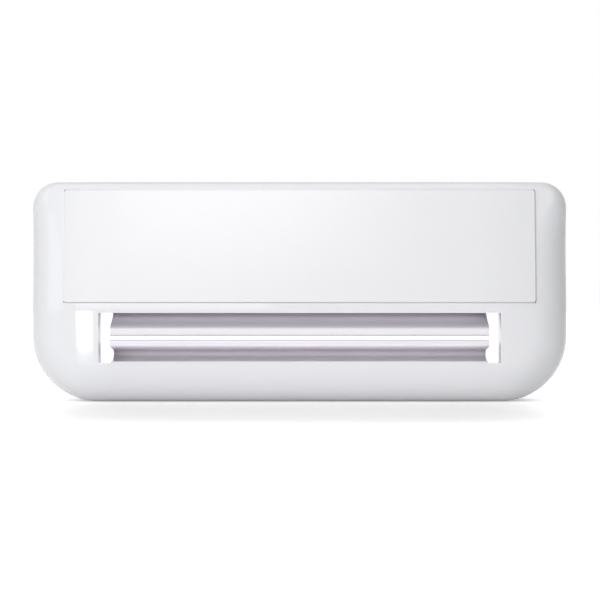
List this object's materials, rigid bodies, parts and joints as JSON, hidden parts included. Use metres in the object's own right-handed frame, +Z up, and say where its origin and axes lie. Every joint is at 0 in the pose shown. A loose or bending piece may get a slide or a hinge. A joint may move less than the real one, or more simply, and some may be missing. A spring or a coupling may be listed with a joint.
{
  "type": "toothpaste tube squeezer",
  "caption": "Hand-held squeezer for flat-ended tubes: a rounded two-part case with a wide window and two sprung jaws that press the tube between them.",
  "frame": {"origin": "middle of the flat bottom edge that it stands on", "axes": "+X across the width, -Y out of the front window, +Z up"},
  "size_m": [0.092, 0.0244, 0.0376],
  "materials": {
    "shell": "high-gloss white moulded ABS",
    "plate": "smooth white imprint plate, slightly less glossy",
    "jaw": "glossy white acetal",
    "frame": "satin off-white ABS",
    "pin": "drawn steel wire",
    "spring": "bright spring wire",
    "screw": "zinc-plated steel"
  },
  "bodies": {
    "squeezer_body": {"front_cover": "shell", "imprint_plate": "plate", "rear_cover": "shell", "jaw_frame": "frame", "upper_hinge_pin": "pin", "lower_hinge_pin": "pin", "upper_spring_left": "spring", "upper_spring_right": "spring", "lower_spring_left": "spring", "lower_spring_right": "spring", "cover_screws": "screw"},
    "upper_jaw": {"upper_jaw": "jaw"},
    "lower_jaw": {"lower_jaw": "jaw"}
  },
  "joints": [
    {"name": "upper_jaw_hinge", "type": "hinge", "parent": "squeezer_body", "child": "upper_jaw", "pos_m": [0, -0.0003, 0.01735], "axis": [-1, 0, 0], "range_deg": [0, 10], "stiffness_Nm_per_rad": 0.02, "springref_deg": -20.05, "deforming": ["upper_spring_left", "upper_spring_right"]},
    {"name": "lower_jaw_hinge", "type": "hinge", "parent": "squeezer_body", "child": "lower_jaw", "pos_m": [0, -0.0003, 0.00455], "axis": [1, 0, 0], "range_deg": [0, 10], "stiffness_Nm_per_rad": 0.02, "springref_deg": -20.05, "deforming": ["lower_spring_left", "lower_spring_right"]}
  ]
}
